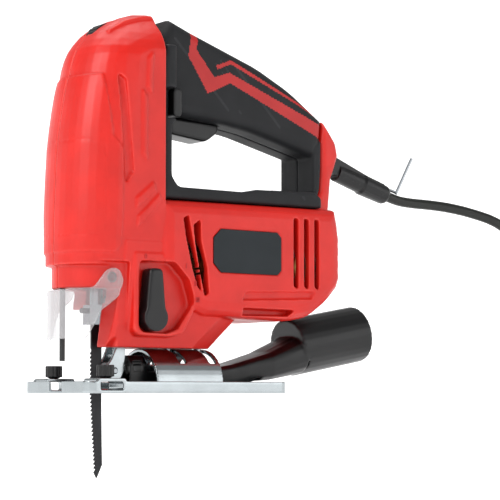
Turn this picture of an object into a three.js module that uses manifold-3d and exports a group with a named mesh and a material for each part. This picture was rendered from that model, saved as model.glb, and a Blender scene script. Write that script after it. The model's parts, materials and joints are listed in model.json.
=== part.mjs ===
// Corded jigsaw. Millimetres, +Z up. +X points to the cord, -X is the cutting direction and
// Y runs across the tool. The origin is the middle of the shoe's sole, with the sole at z = 0.

import * as THREE from 'three';
import { mergeVertices } from 'three/addons/utils/BufferGeometryUtils.js';
import Module from 'manifold-3d';

const wasm = await Module();
wasm.setup();

// ---- driving dimensions -------------------------------------------------------------------

const GAP = 0.3;                     // clearance between neighbouring pieces
const SEAM = 0.15;                   // half of the gap between the two clamshells
const WALL = 3.2;                    // moulded wall thickness

const SHOE = { length: 150, width: 76, sheet: 2, lip: 7.2, corner: 6, slotHalf: 7.5, slotEnd: -21 };
const FENCE = { x: -58, width: 16, y: 30, roof: 7, innerY: 21 };
const BEVEL = { z: 6, outer: 22, sheet: 2.4, from: -15, to: 35, slotHalfDeg: 54 };
const BEVEL_BOLTS = [7, 30];

const NOSE = { half: 32.5, rear: -16.3, bottom: 77.5, corner: 32, power: 2.3 };
const DRAFT = { from: 110, perMm: 0.1 };
const LOWER = { bottom: 28, top: 92 };
const MOTOR = { z: 82, half: 34, cavity: 29.6 };
const GRIP = { half: 19.5, collarHalf: 29.5 };

const PLUNGER = { x: -46, radius: 4, top: 188, bottom: 47 };
const CARRIER_PIVOT = { x: -56, z: 170 };
const GEAR = { module: 1.15, teeth: 42, pinionTeeth: 8, crank: 9, from: -30, to: -22.5 };
const GEAR_Z = MOTOR.z + GEAR.module * (GEAR.teeth + GEAR.pinionTeeth) / 2;

const BLADE = { front: -50.3, back: -42.3, thick: 1.3, top: 45.8, tip: -51.8, pitch: 2.5 };
const FORK_PIVOT = { x: -33, z: 58 };
const ROLLER = { x: -36, z: 13.8, radius: 6, half: 3.4 };
const KNOB = { x: -25, z: 46, reach: 30, radius: 8.6 };
const GUARD = { pivotX: -50, pivotZ: 70, inset: 0.5, thick: 1.6 };

const DIAL = { x: -40, z: 216.5, radius: 12.5 };
const CORD = {
  radius: 3.5, floor: -62,
  coilX: 342, coilY: -43, coilInner: 31.5, coilOuter: 45.5, coilHeight: 28,
};

// ---- finishes -----------------------------------------------------------------------------

const finish = (color, roughness, metalness = 0, opacity = 1) => new THREE.MeshStandardMaterial({
  color, roughness, metalness, opacity, transparent: opacity < 1,
});
const FINISH = {
  housing: finish(0xd8271f, 0.45),
  grip: finish(0x26272b, 0.7),
  badge: finish(0x353b42, 0.4),
  black: finish(0x151517, 0.5),
  zinc: finish(0xc3c9cc, 0.3, 1),
  steel: finish(0x9da1a5, 0.3, 1),
  blade: finish(0x1b1b1d, 0.45, 0.6),
  alloy: finish(0xa9abad, 0.45, 1),
  brass: finish(0xb8954a, 0.4, 1),
  copper: finish(0xa9623a, 0.4, 1),
  clear: finish(0xdde6ea, 0.1, 0, 0.35),
  cable: finish(0x1a1b18, 0.6),
};

// ---- solids -------------------------------------------------------------------------------

const ARC_STEP = Math.PI / 8;
const ORIGIN = new THREE.Vector2();

function toSolid(geometry) {
  geometry.deleteAttribute('normal');
  geometry.deleteAttribute('uv');
  const merged = mergeVertices(geometry, 1e-4);
  return new wasm.Manifold(new wasm.Mesh({
    numProp: 3,
    vertProperties: new Float32Array(merged.attributes.position.array),
    triVerts: new Uint32Array(merged.index.array),
  }));
}

function toGeometry(solid) {
  const { numProp, vertProperties, triVerts } = solid.getMesh();
  const positions = new Float32Array((vertProperties.length / numProp) * 3);
  for (let i = 0; i < positions.length / 3; i += 1) {
    positions.set(vertProperties.subarray(i * numProp, i * numProp + 3), i * 3);
  }
  const geometry = new THREE.BufferGeometry();
  geometry.setAttribute('position', new THREE.BufferAttribute(positions, 3));
  geometry.setIndex(new THREE.BufferAttribute(new Uint32Array(triVerts), 1));
  geometry.computeVertexNormals();
  return geometry;
}

const join = (...solids) => solids.reduce((whole, solid) => whole.add(solid));
const cut = (solid, ...tools) => tools.reduce((whole, tool) => whole.subtract(tool), solid);

// A closed outline from corners [a, b, radius]; a radius puts a round arc in that corner.
function outline(corners) {
  const at = (index) => new THREE.Vector2(...corners[(index + corners.length) % corners.length].slice(0, 2));
  const points = corners.flatMap(([, , radius = 0], index) => {
    const here = at(index);
    if (radius === 0) return [here];
    const back = at(index - 1).sub(here).normalize();
    const ahead = at(index + 1).sub(here).normalize();
    const halfAngle = Math.acos(THREE.MathUtils.clamp(back.dot(ahead), -1, 1)) / 2;
    const centre = here.clone().add(back.clone().add(ahead).setLength(radius / Math.sin(halfAngle)));
    const first = here.clone().addScaledVector(back, radius / Math.tan(halfAngle)).sub(centre);
    const turn = (Math.PI - 2 * halfAngle) * -Math.sign(back.cross(ahead));
    const steps = Math.max(1, Math.ceil(Math.abs(turn) / ARC_STEP));
    return Array.from({ length: steps + 1 }, (_, step) => (
      first.clone().rotateAround(ORIGIN, turn * step / steps).add(centre)));
  });
  return new THREE.Shape(THREE.ShapeUtils.isClockWise(points) ? points.toReversed() : points);
}

function extrude(corners, length, bevel, bevelSegments) {
  return new THREE.ExtrudeGeometry(outline(corners), {
    depth: length - 2 * bevel,
    bevelEnabled: bevel > 0,
    bevelThickness: bevel,
    bevelSize: bevel,
    bevelOffset: -bevel,
    bevelSegments,
  });
}

// Side profile in (x, z), carried across the tool from y0 to y1.
function profile(corners, y0, y1, bevel = 0, bevelSegments = 3) {
  const geometry = extrude(corners, y1 - y0, bevel, bevelSegments);
  return toSolid(geometry.rotateX(Math.PI / 2).translate(0, y1 - bevel, 0));
}

// Plan outline in (x, y), raised from z0 to z1.
function plan(corners, z0, z1, bevel = 0) {
  return toSolid(extrude(corners, z1 - z0, bevel, 2).translate(0, 0, z0 + bevel));
}

// Cross-section in (y, z), carried along the tool from x0 to x1.
function section(corners, x0, x1, bevel = 0) {
  const geometry = extrude(corners, x1 - x0, bevel, 2);
  return toSolid(geometry.rotateY(Math.PI / 2).rotateX(Math.PI / 2).translate(x0 + bevel, 0, 0));
}

function box(x0, x1, y0, y1, z0, z1) {
  const geometry = new THREE.BoxGeometry(x1 - x0, y1 - y0, z1 - z0);
  return toSolid(geometry.translate((x0 + x1) / 2, (y0 + y1) / 2, (z0 + z1) / 2));
}

function rodX(radius, x0, x1, y, z, sides = 18) {
  const geometry = new THREE.CylinderGeometry(radius, radius, x1 - x0, sides);
  return toSolid(geometry.rotateZ(Math.PI / 2).translate((x0 + x1) / 2, y, z));
}

function rodY(radius, y0, y1, x, z, sides = 18) {
  const geometry = new THREE.CylinderGeometry(radius, radius, y1 - y0, sides);
  return toSolid(geometry.translate(x, (y0 + y1) / 2, z));
}

function rodZ(radius, z0, z1, x, y, sides = 18) {
  const geometry = new THREE.CylinderGeometry(radius, radius, z1 - z0, sides);
  return toSolid(geometry.rotateX(Math.PI / 2).translate(x, y, (z0 + z1) / 2));
}

// A skin through rings of [x, y, z] points, closed with flat fans at both ends.
function loft(rings) {
  const count = rings[0].length;
  const last = (rings.length - 1) * count;
  const index = [];
  for (let ring = 0; ring + 1 < rings.length; ring += 1) {
    for (let i = 0; i < count; i += 1) {
      const a = ring * count + i;
      const b = ring * count + ((i + 1) % count);
      index.push(a, b, b + count, a, b + count, a + count);
    }
  }
  for (let i = 1; i + 1 < count; i += 1) {
    index.push(0, i + 1, i, last, last + i, last + i + 1);
  }
  const geometry = new THREE.BufferGeometry();
  geometry.setAttribute('position', new THREE.BufferAttribute(new Float32Array(rings.flat(2)), 3));
  geometry.setIndex(index);
  return toSolid(geometry);
}

const lerpTable = (table, value) => {
  const next = table.findIndex(([key]) => key >= value);
  if (next === 0) return table[0][1];
  if (next < 0) return table.at(-1)[1];
  const [[key0, out0], [key1, out1]] = [table[next - 1], table[next]];
  return out0 + (out1 - out0) * (value - key0) / (key1 - key0);
};

function mesh(name, solid, material) {
  const piece = new THREE.Mesh(toGeometry(solid), material);
  piece.name = name;
  return piece;
}

function group(...meshes) {
  const holder = new THREE.Group();
  holder.add(...meshes);
  return holder;
}

// ---- housing: nose, lower box, motor barrel and rear column -------------------------------

const NOSE_FRONT = [
  [60, -76.5], [84, -76.6], [100, -76.1], [120, -75.4], [148, -74.1], [169, -71.5], [187, -68.1],
  [191, -66.8], [203, -64.4], [212, -60.5], [220.5, -54], [227, -46], [231.8, -37], [235.5, -26],
  [238.2, -12],
];
const RIDGE = [...NOSE_FRONT.slice(3).map(([z, x]) => [x, z]), [0, 238.2]];
const CROWN = [[0, 7], [1.5, 12], [5, 17], [12, 24.5], [18, 29.5], [25, 32.5]];
const NOSE_LEVELS = [
  110, 130, 150, 162, 175, 185, 193, 200, 206, 211, 216, 221, 225, 229, 232.5, 235.5, 237.9,
];

const draftedHalf = (z, half) => half - Math.max(0, DRAFT.from - z) * DRAFT.perMm;

function noseHalfWidth(x, z, front) {
  const reach = THREE.MathUtils.clamp((x - front) / NOSE.corner, 0, 1);
  const rounded = draftedHalf(z, NOSE.half) * (1 - (1 - reach) ** NOSE.power) ** (1 / NOSE.power);
  const crown = lerpTable(CROWN, Math.max(lerpTable(RIDGE, x) - z, 0));
  return Math.max(Math.min(rounded, crown), 0.4);
}

// Half outline of the nose in plan at height z, drawn in by inset, from the front to the rear.
function noseSide(z, inset, rear) {
  const steps = [0, 0.004, 0.018, 0.045, 0.085, 0.14, 0.21, 0.3, 0.42, 0.6, 0.8, 1];
  const front = lerpTable(NOSE_FRONT, z);
  return steps.map((step) => {
    const x = front + (rear - front) * step;
    return [Math.min(x + inset, rear), Math.max(noseHalfWidth(x, z, front) - inset, 0.2)];
  });
}

// Upright column with the nose's plan outline at height z.
function noseColumn(inset, rear, z0, z1, z = 70) {
  const side = noseSide(z, inset, rear);
  return plan([...side, ...side.toReversed().map(([x, y]) => [x, -y])], z0, z1);
}

// Horizontal slices of the nose, drawn in by inset on every side.
function nose(inset, rear = NOSE.rear, bottom = NOSE.bottom) {
  const levels = [bottom, ...NOSE_LEVELS.filter((z) => z > bottom + 1)];
  return loft(levels.map((z) => {
    const height = z > bottom ? z - Math.max(inset, 0) : z;
    const side = noseSide(z, inset, rear);
    return [...side.map(([x, y]) => [x, -y, height]), ...side.toReversed().map(([x, y]) => [x, y, height])];
  }));
}

function lowerBox() {
  const ring = (z) => {
    const half = draftedHalf(z, 33) - 2.2 * THREE.MathUtils.clamp((44 - z) / 14, 0, 1);
    const front = Math.min(-51 + (z - LOWER.bottom) * 0.14, -46);
    const crease = Math.min(10 + (z - LOWER.bottom) * 0.95, 70);
    const heel = Math.min(29 + (z - LOWER.bottom) * 0.95, 88);
    return [[front + 2, -half, z], [crease, -half, z], [heel, -half + 9, z], [heel, half - 9, z],
      [crease, half, z], [front + 2, half, z], [front, half - 2, z], [front, -half + 2, z]];
  };
  return loft([LOWER.bottom, 36, 44, 62, LOWER.top].map(ring));
}

const MOTOR_OUTLINE = [
  [-20, 60], [14, 47.6], [82, 46.4, 30], [98, 49.2, 20], [113, 59.5, 30], [122, 69], [124.5, 75.5],
  [124.5, 101, 12], [123, 111], [120.5, 121.2], [100, 121], [-20, 119.4],
];
const REAR_OUTLINE = [
  [104, 112], [124, 112], [125.5, 121], [127, 136, 12], [127.6, 143], [130.8, 150.5], [133.8, 159],
  [132, 167.5, 8], [125.4, 176], [120, 181.6], [118.3, 165], [118.3, 150], [117.2, 135],
];

const COLLAR_BOTTOM = 63.5;
const BARREL_RIDGES = [106, 97.5, 89, 80.5];

const KNOB_FRAME = [
  [-38.5, 35, 6], [-12, 34.6, 4], [-2, 36.5, 4], [9, 56, 6], [6, 72, 8], [-8, 86, 8], [-38.5, 86, 2],
];
const KNOB_POCKET = [
  [-34.8, 37, 5], [-14, 36.6, 4], [-6, 39.5, 4], [5.5, 55, 6], [0.6, 70, 6], [-10, 80.5, 6],
  [-34.5, 80.5, 3],
];
const BADGE = [
  [24, 103], [69, 103], [72.3, 99.7], [72.3, 78], [69, 75], [24, 75], [18.2, 80.8], [18.2, 97.2],
];

// Slanted slots in front of the badge and upright ones behind it.
const VENTS = [
  [[-4, 108], [0, 110], [3, 96], [8.5, 72], [10, 62], [6.5, 66], [3, 76], [-2, 96]],
  [[3.5, 104], [9, 108], [9.5, 94], [14, 78], [15.5, 62], [12, 60], [8.5, 74], [5, 92]],
  ...[84.5, 93, 101.5].map((x) => [[x - 2, 69, 1.5], [x + 2, 66, 1.5], [x + 2, 113, 1.5], [x - 2, 113, 1.5]]),
];

const POSTS = [[-66.5, 140, 17], [-26, 196, 23.5], [113.5, 115, 23.5]];   // x, z, screw head

// Both outer sides of the tool, between the given distances from the middle plane.
const bothSides = (corners, near, far, bevel = 0) => join(
  profile(corners, -far, -near, bevel),
  profile(corners, near, far, bevel),
);
const bothSidesRod = (radius, near, far, x, z) =>
  [rodY(radius, -far, -near, x, z, 16), rodY(radius, near, far, x, z, 16)];

function housingBlank() {
  let blank = join(
    nose(0),
    lowerBox(),
    noseColumn(2.7, -40, COLLAR_BOTTOM, 84),
    profile(MOTOR_OUTLINE, -MOTOR.half, MOTOR.half, 9),
    profile(REAR_OUTLINE, -18.5, 18.5, 4),
    bothSides(KNOB_FRAME, 20, 31.5, 1.6),
  );
  const raised = nose(-1.1);
  const recessed = nose(1.0);
  const bars = [
    [[-33.5, 145], [-30.5, 142], [-30.5, 181], [-33.5, 184]],
    [[-30, 186], [-27, 183], [-26, 208], [-29.5, 204]],
    [[-38, 112], [-24, 124], [-25.5, 128.5], [-38, 118]],
    [[-36.5, 101], [-20, 117.5], [-21.5, 121.5], [-36.5, 107]],
  ];
  const grooves = [
    [[-90, 153], [-66, 153], [-66, 152], [-90, 152]],
    [[-66.4, 153], [-58.6, 147.6], [-57.6, 148], [-57.6, 99], [-62, 94.6], [-90, 94.6], [-90, 95.6],
      [-62.4, 95.6], [-58.6, 99.4], [-58.6, 147], [-66.8, 152]],
  ];
  const groove = [[-49.5, 194], [-44.5, 190], [-39.5, 134], [-45.5, 126]];
  const channel = bothSides(groove, 15, 40).subtract(nose(1.8));
  const frontPanel = profile([[-90, 191], [-58, 193], [-53.8, 155], [-47.6, 147.5], [-47.6, 90], [-51, 85],
    [-90, 85]], -40, 40);
  blank = blank.add(nose(-0.8).intersect(frontPanel)).subtract(channel);
  for (const bar of bars) blank = blank.add(raised.intersect(bothSides(bar, 15, 40)));
  for (const groove of grooves) blank = blank.subtract(bothSides(groove, 1.5, 40).subtract(recessed));
  for (const y of [-14.5, 14.5]) {
    const ridgeBar = profile([[-50, 211, 1], [-48.5, 222], [-37, 229.2], [-26, 233], [-17, 234.6, 2],
      [-13, 228, 1]],
      y - 3.2, y + 3.2, 0.8);
    blank = blank.add(ridgeBar);
  }
  const flutes = BARREL_RIDGES.map((z) => box(121.4, 140, -40, 40, z - 1.6, z + 1.6));
  const undercuts = [
    bothSides([[44, 64], [100, 66], [97, 61], [41, 58.5]], MOTOR.half - 1.6, 40),
    bothSides([[42, 54], [84, 53.5], [80, 49.5], [44, 49]], MOTOR.half - 9, 40),
  ];
  return cut(
    blank,
    bothSides(KNOB_POCKET, 25.2, 40),
    bothSides(BADGE, MOTOR.half - 0.9, 40),
    ...flutes,
    ...undercuts,
  );
}

function housingCavity() {
  const guideWell = box(-63, -34, -11.5, 11.5, 55, 90);
  const forkWell = box(-60, -28, -8.2, 8.2, 20, 70);
  const camWell = box(-29, -19.5, -8.2, 8.2, 38, 64);
  return join(
    nose(WALL, -19.5, 90),
    rodX(24, -26, 2, 0, MOTOR.z, 32),
    rodX(MOTOR.cavity, 1.4, 119, 0, MOTOR.z, 40),
    box(-32.5, -5, -26, 26, 89.9, 117.2),
    box(-32.5, -5, -22.4, 22.4, 65.7, 90),
    guideWell,
    forkWell,
    camWell,
  );
}

const gripSpace = profile([[-16, 119.7], [112.3, 120.9], [117.2, 135], [118.3, 150], [118.3, 165],
  [120, 181.6], [121, 250],
  [-2, 250], [-3.7, 235], [-12.3, 221.5], [-16, 205]], -50, 50);

function screwHoles(radius, headRadius) {
  return join(...POSTS.map(([x, z, head]) => join(
    rodY(radius, -18, head, x, z, 16),
    rodY(headRadius, head - 3.5, 50, x, z, 16),
  )));
}

function housingShell() {
  const blank = housingBlank();
  const posts = POSTS.slice(0, 2).map(([x, z]) => rodY(4.6, -31, 31, x, z, 16).intersect(blank));
  const hollow = join(blank.subtract(housingCavity()), ...posts);
  const vents = join(...VENTS.map((corners) => bothSides(corners, 20, 40)));
  const dialSlot = box(DIAL.x - 13.2, DIAL.x + 13.2, -5.5, 5.5, 203, 245);
  const selectorHole = rodY(4.4, -40, -7, KNOB.x, KNOB.z);
  const forkPinHole = rodY(2.3, -12.3, 12.3, FORK_PIVOT.x, FORK_PIVOT.z, 16);
  const saddleRecess = rodX(BEVEL.outer + 0.5, BEVEL.from - 1, BEVEL.to + 1, 0, BEVEL.z, 48);
  const boltHoles = BEVEL_BOLTS.map((x) => rodZ(2.7, 20, 37, x, 0, 16));
  const guardPins = rodY(3.3, -40, 40, GUARD.pivotX, GUARD.pivotZ, 16);
  const guardRoom = bothSides([[-90, 20], [-40.5, 20], [-40.5, 79.5], [-90, 79.5]], 25.9, 40);
  const tiltNotch = (side) => {
    const outline = [[17, 20], [17, 27.4], [30, 40.4], [40, 40.4], [40, 20]];
    return section(outline.map(([y, z]) => [side * y, z]), -60, -46);
  };
  const fingerRodHole = rodZ(2, 50, 74.3, -70, 0, 16);
  const rollerWindow = box(-60, -24, -8.2, 40, 20, 52);
  return cut(
    hollow, gripSpace, vents, dialSlot, selectorHole, forkPinHole, saddleRecess,
    ...boltHoles, guardPins, guardRoom, fingerRodHole, rollerWindow,
    tiltNotch(-1), tiltNotch(1), screwHoles(2.1, 3.6),
  );
}

const leftOf = (solid) => solid.subtract(box(-200, 300, -SEAM, 80, -100, 300));
const rightOf = (solid) => solid.subtract(box(-200, 300, -80, SEAM, -100, 300));

// ---- grip ---------------------------------------------------------------------------------

const HANDLE_OUTLINE = [
  [-15.7, 176.6], [-15.7, 204.8], [-12, 221.2], [-3.4, 234.4], [13, 228.4, 60], [66, 211.4, 60],
  [93, 198.8, 60], [119.7, 181.3], [118, 165.4], [112, 157], [62, 169, 60], [41.5, 171.6, 60],
  [-1.5, 174.6],
];
const OPENING = [
  [-9.5, 134, 5], [-4.5, 127.6, 5], [48.8, 127.8], [56, 130], [106, 131.6, 5], [112, 136, 4], [112, 157],
  [62, 169], [41.5, 171.6], [-1.5, 174.6], [-9.5, 165, 3],
];
const HANDLE_CAVITY = [
  [3, 178], [3, 221], [25, 219.5], [64, 206.5], [92, 193.5], [110, 181], [110, 166], [62, 175], [41, 177],
];
const COLLAR_BAND = [
  [-15.7, 120], [-15.7, 204.8], [-12.6, 216], [-5.2, 216], [-5.2, 130.5, 5], [60, 131.5], [104, 132.5],
  [110, 128], [110, 121.2],
];
const REAR_STRIP = [
  [104, 121.2], [111.7, 121.2], [116.8, 135], [118, 150], [118, 168], [112, 164], [112, 134], [104, 129],
];

const GRIP_SCREWS = [[97, 186.5, 17.6], [-10.5, 150, 17.6]];

function gripShell() {
  const handle = profile(HANDLE_OUTLINE, -GRIP.half, GRIP.half, 7, 4);
  const rearStrip = profile(REAR_STRIP, -18.6, 18.6, 1.6);
  const collar = profile(COLLAR_BAND, -GRIP.collarHalf, GRIP.collarHalf, 2.6);
  const opening = profile(OPENING, -50, 50);
  return cut(
    join(handle, rearStrip, collar.subtract(opening)),
    profile(HANDLE_CAVITY, -15.6, 15.6),
    box(0.6, 41, -9.4, 9.4, 160, 180),
    box(-14, -5, -40, -19, 170, 189),
    box(-4.9, 2.4, -40, -4.4, 171.6, 190.4),
    ...GRIP_SCREWS.map(([x, z]) => join(rodY(2.1, -14, 30, x, z, 16), rodY(3.6, 14, 50, x, z, 16))),
  );
}

function screw([x, z, headY], tipY) {
  const head = rodY(3.2, headY - 2.4, headY, x, z, 16);
  const shank = rodY(1.8, tipY, headY - 2.2, x, z, 12);
  const drive = box(x - 2.2, x + 2.2, headY - 1.1, headY + 1, z - 0.5, z + 0.5);
  const cross = box(x - 0.5, x + 0.5, headY - 1.1, headY + 1, z - 2.2, z + 2.2);
  return cut(join(head, shank), drive, cross);
}

function casing() {
  const shell = housingShell();
  const grip = gripShell();
  const badge = (y0, y1) => profile(BADGE.map(([x, z]) => [
    x + (x < 45 ? GAP : -GAP), z + (z < 89 ? GAP : -GAP)]), y0, y1);
  const screws = [
    ...POSTS.map((place, index) => mesh(`housing_screw_${index + 1}`, screw(place, -14), FINISH.steel)),
    ...GRIP_SCREWS.map((place, index) => mesh(`grip_screw_${index + 1}`, screw(place, -10), FINISH.steel)),
  ];
  return group(
    mesh('housing_left', leftOf(shell), FINISH.housing),
    mesh('housing_right', rightOf(shell), FINISH.housing),
    mesh('grip_left', leftOf(grip), FINISH.grip),
    mesh('grip_right', rightOf(grip), FINISH.grip),
    mesh('badge_left', badge(-MOTOR.half - 0.3, -MOTOR.half + 0.6), FINISH.badge),
    mesh('badge_right', badge(MOTOR.half - 0.6, MOTOR.half + 0.3), FINISH.badge),
    ...screws,
  );
}

// ---- motor and gear train -----------------------------------------------------------------

const ringX = (outer, inner, x0, x1, z) =>
  rodX(outer, x0, x1, 0, z, 24).subtract(rodX(inner, x0 - 1, x1 + 1, 0, z, 24));

// Spur gear in the (y, z) plane about (0, z); phase turns the first tooth from +Z.
function gearX(teeth, x0, x1, z, phase) {
  const pitchRadius = GEAR.module * teeth / 2;
  const points = [];
  for (let tooth = 0; tooth < teeth; tooth += 1) {
    const middle = Math.PI / 2 + phase + tooth * 2 * Math.PI / teeth;
    const root = 0.75 / pitchRadius;
    const tip = 0.32 / pitchRadius;
    for (const [radius, angle] of [[pitchRadius - 1.35, -root * 1.15], [pitchRadius + 1, -tip],
      [pitchRadius + 1, tip], [pitchRadius - 1.35, root * 1.15]]) {
      points.push([radius * Math.cos(middle + angle), z + radius * Math.sin(middle + angle)]);
    }
  }
  return section(points, x0, x1);
}

function drive() {
  const core = join(
    rodX(17.6, 25, 65, 0, MOTOR.z, 24),
    rodX(11, 83, 97, 0, MOTOR.z),
    rodX(4, -19, 116.5, 0, MOTOR.z),
    rodX(2.2, -31.5, -18.5, 0, MOTOR.z, 16),
    rodX(13, 64, 73, 0, MOTOR.z),
    rodX(13, 18, 26, 0, MOTOR.z),
  );
  const fanBlades = Array.from({ length: 9 }, (_, index) => {
    const geometry = new THREE.BoxGeometry(8, 19, 1.6).translate(0, 17, 0);
    return toSolid(geometry.rotateX(index * 2 * Math.PI / 9).translate(7.5, 0, MOTOR.z));
  });
  const fan = cut(
    join(rodX(27, 2, 4, 0, MOTOR.z, 36), rodX(9, 2, 13, 0, MOTOR.z), ...fanBlades),
    rodX(4.3, 0, 20, 0, MOTOR.z),
  );
  const bearing = (x0, x1) => ringX(11, 4.3, x0, x1, MOTOR.z);
  const gear = cut(
    join(
      gearX(GEAR.teeth, GEAR.from, GEAR.to, GEAR_Z, Math.PI + Math.PI / GEAR.teeth),
      rodX(2.8, -35.4, GEAR.from + 1, GEAR.crank, GEAR_Z, 16),
    ),
    rodX(4.3, -40, -10, 0, GEAR_Z),
    ...[45, 135, 225, 315].map((degrees) => {
      const angle = THREE.MathUtils.degToRad(degrees);
      return rodX(4, -40, -10, 15 * Math.cos(angle), GEAR_Z + 15 * Math.sin(angle), 16);
    }),
  );
  const gearCase = cut(
    join(
      box(-21.9, -19.7, -22, 22, 66, 136),
      rodX(14, -20, -9.6, 0, MOTOR.z),
      rodX(6.4, -20, -11, 0, GEAR_Z - 0.4)),
    rodX(11.3, -17.4, 0, 0, MOTOR.z),
    rodX(7, -30, 0, 0, MOTOR.z),
    rodX(4.3, -30, -12.5, 0, GEAR_Z),
  );
  const rearPlate = cut(
    rodX(28.6, 106, 109, 0, MOTOR.z, 30).add(rodX(14, 108, 117.5, 0, MOTOR.z)),
    rodX(11.3, 104, 115.9, 0, MOTOR.z),
    rodX(7, 100, 130, 0, MOTOR.z),
    ...[30, 90, 150, 210, 270, 330].map((degrees) => {
      const angle = THREE.MathUtils.degToRad(degrees);
      return rodX(4.5, 100, 130, 21 * Math.cos(angle), MOTOR.z + 21 * Math.sin(angle), 10);
    }),
  );
  const brush = (side) => {
    const [near, far] = [side * 11.5, side * 20];
    return box(86.5, 93.5, Math.min(near, far), Math.max(near, far), 78.5, 85.5);
  };
  const holder = (side) => cut(
    box(84, 96, Math.min(side * 14, side * 27), Math.max(side * 14, side * 27), 76, 88),
    box(86.2, 93.8, Math.min(side * 10, side * 22), Math.max(side * 10, side * 22), 78.2, 85.8),
  );
  const pinionBore = rodX(2.5, -40, 0, 0, MOTOR.z, 16);
  const pinion = gearX(GEAR.pinionTeeth, -31, -22.4, MOTOR.z, 0).subtract(pinionBore);
  return group(
    mesh('armature', core, FINISH.copper),
    mesh('cooling_fan', fan, FINISH.black),
    mesh('stator', ringX(29.2, 18.4, 28, 63, MOTOR.z), FINISH.steel),
    mesh('front_bearing', bearing(-17, -10), FINISH.steel),
    mesh('rear_bearing', bearing(108.4, 115.4), FINISH.steel),
    mesh('bearing_plate', rearPlate, FINISH.alloy),
    mesh('pinion', pinion, FINISH.steel),
    mesh('drive_gear', gear, FINISH.steel),
    mesh('gear_axle', rodX(4, -33, -13, 0, GEAR_Z), FINISH.steel),
    mesh('gear_case', gearCase, FINISH.alloy),
    mesh('brush_left', brush(-1), FINISH.black),
    mesh('brush_right', brush(1), FINISH.black),
    mesh('brush_holder_left', holder(-1), FINISH.brass),
    mesh('brush_holder_right', holder(1), FINISH.brass),
  );
}

// ---- plunger, blade and pendulum ----------------------------------------------------------

function reciprocating() {
  const carrier = cut(
    join(box(-60, -56.6, -9, 9, 66, 176), box(-58, -39, -9, 9, 158, 176), box(-58, -39, -9, 9, 66, 78)),
    rodZ(6.3, 60, 180, PLUNGER.x, 0),
    rodY(2.2, -10, 10, CARRIER_PIVOT.x, CARRIER_PIVOT.z, 16),
  );
  const bush = (z0, z1) => rodZ(6, z0, z1, PLUNGER.x, 0).subtract(rodZ(4.3, z0 - 1, z1 + 1, PLUNGER.x, 0));
  const yoke = cut(
    box(-52, -36.2, -15.5, 15.5, GEAR_Z - 7, GEAR_Z + 7),
    rodZ(4.3, 80, 150, PLUNGER.x, 0),
    box(-40.5, -30, -12.6, 12.6, GEAR_Z - 3.2, GEAR_Z + 3.2),
  );
  const clamp = cut(
    rodZ(8, 42, 54, PLUNGER.x, 0, 6),
    rodZ(4.3, 46.6, 60, PLUNGER.x, 0),
    box(BLADE.front - 0.4, BLADE.back + 0.4, -0.95, 0.95, 40, 46.2),
    rodX(1.9, -60, PLUNGER.x, 0, 50.5, 12),
  );
  return group(
    mesh('plunger_carrier', carrier, FINISH.alloy),
    mesh('carrier_pin', rodY(1.9, -21, 21, CARRIER_PIVOT.x, CARRIER_PIVOT.z, 16), FINISH.steel),
    mesh('upper_bush', bush(159, 175), FINISH.brass),
    mesh('lower_bush', bush(67, 77), FINISH.brass),
    mesh('plunger_rod', rodZ(PLUNGER.radius, PLUNGER.bottom, PLUNGER.top, PLUNGER.x, 0), FINISH.steel),
    mesh('scotch_yoke', yoke, FINISH.steel),
    mesh('blade_clamp', clamp, FINISH.steel),
    mesh('clamp_screw', rodX(1.6, -57, -50.4, 0, 50.5, 12), FINISH.black),
    mesh('saw_blade', blade(), FINISH.blade),
  );
}

// Toothed edge facing the cut, tapering to a slanted tip.
function blade() {
  const teeth = [];
  const toothTop = 26;
  const count = Math.floor((toothTop - BLADE.tip - 3) / BLADE.pitch);
  for (let tooth = 0; tooth <= count; tooth += 1) {
    const z = toothTop - tooth * BLADE.pitch;
    const edge = BLADE.front + Math.max(0, -z) * 0.066;
    teeth.push([edge + 1.3, z], [edge, z - BLADE.pitch * 0.75]);
  }
  const corners = [
    [BLADE.back, BLADE.top], [BLADE.front + 0.6, BLADE.top], [BLADE.front + 0.6, toothTop + 2],
    ...teeth, [-45.4, BLADE.tip], [-41.6, BLADE.tip + 8], [BLADE.back, -14],
  ];
  return profile(corners, -BLADE.thick / 2, BLADE.thick / 2);
}

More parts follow.
